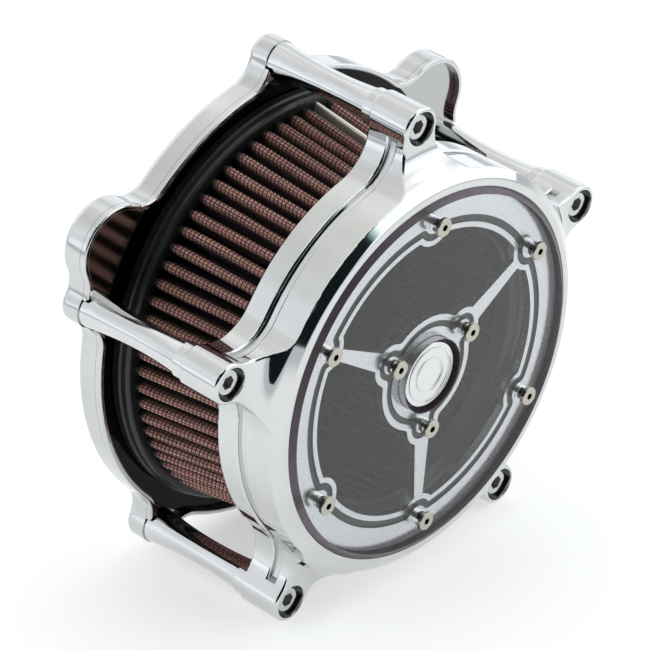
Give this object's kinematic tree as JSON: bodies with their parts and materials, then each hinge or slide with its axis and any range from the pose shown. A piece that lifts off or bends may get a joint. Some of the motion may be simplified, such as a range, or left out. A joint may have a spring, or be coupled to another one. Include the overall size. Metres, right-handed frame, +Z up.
{
  "type": "motorcycle air filter",
  "caption": "Round motorcycle air cleaner with a polished backplate, standoffs, a pleated open filter and a ring cover that carries a clear window.",
  "frame": {"origin": "centre of the intake bore on the rear mounting face", "axes": "+Y points rearwards out of the mounting face towards the throttle body, -Y is the window side, +Z is up, +X is to the right for someone facing the window"},
  "size_m": [0.1964, 0.0911, 0.1917],
  "materials": {
    "chrome": "mirror-bright chrome plate",
    "chrome_standoff": "polished and plated turned standoff",
    "satin_aluminium": "fine satin face with dark grey painted grooves",
    "clear_window": "clear polished acrylic-like sheet with bevelled edge",
    "black_rubber": "moulded black rubber with a soft sheen",
    "seal_rubber": "soft black seal",
    "pleat_fabric": "oiled red-brown cotton gauze under black wire mesh",
    "seam_metal": "bright folded metal strip",
    "nickel_screw": "pale nickel plate",
    "medallion_metal": "bright plain disc"
  },
  "bodies": {
    "base": {"backplate": "chrome", "inlet_ring": "satin_aluminium", "inlet_ring_screws": "nickel_screw", "throttle_gasket": "seal_rubber", "breather_o_ring_left": "seal_rubber", "breather_o_ring_right": "seal_rubber", "standoff_1": "chrome_standoff", "standoff_2": "chrome_standoff", "standoff_3": "chrome_standoff", "standoff_4": "chrome_standoff", "standoff_5": "chrome_standoff"},
    "filter_element": {"filter_rear_cap": "black_rubber", "filter_media": "pleat_fabric", "filter_front_cap": "black_rubber", "seam_clip": "seam_metal"},
    "cover": {"cover_ring": "chrome", "lens_seal": "seal_rubber", "trim_plate": "satin_aluminium", "lens": "clear_window", "medallion": "medallion_metal", "outer_lens_screws": "nickel_screw", "hub_lens_screws": "nickel_screw"},
    "cover_screws": {"cover_screws": "chrome"}
  },
  "joints": [
    {"name": "cover_slide", "type": "slide", "parent": "base", "child": "cover", "axis": [0, -1, 0], "range_m": [0, 0.1]},
    {"name": "cover_screw_slide", "type": "slide", "parent": "cover", "child": "cover_screws", "axis": [0, -1, 0], "range_m": [0, 0.07]},
    {"name": "filter_slide", "type": "slide", "parent": "base", "child": "filter_element", "axis": [0, -1, 0], "range_m": [0, 0.05]}
  ],
  "couplings": [
    {"joint": "filter_slide", "follows": "cover_slide", "ratio": 0.5}
  ]
}
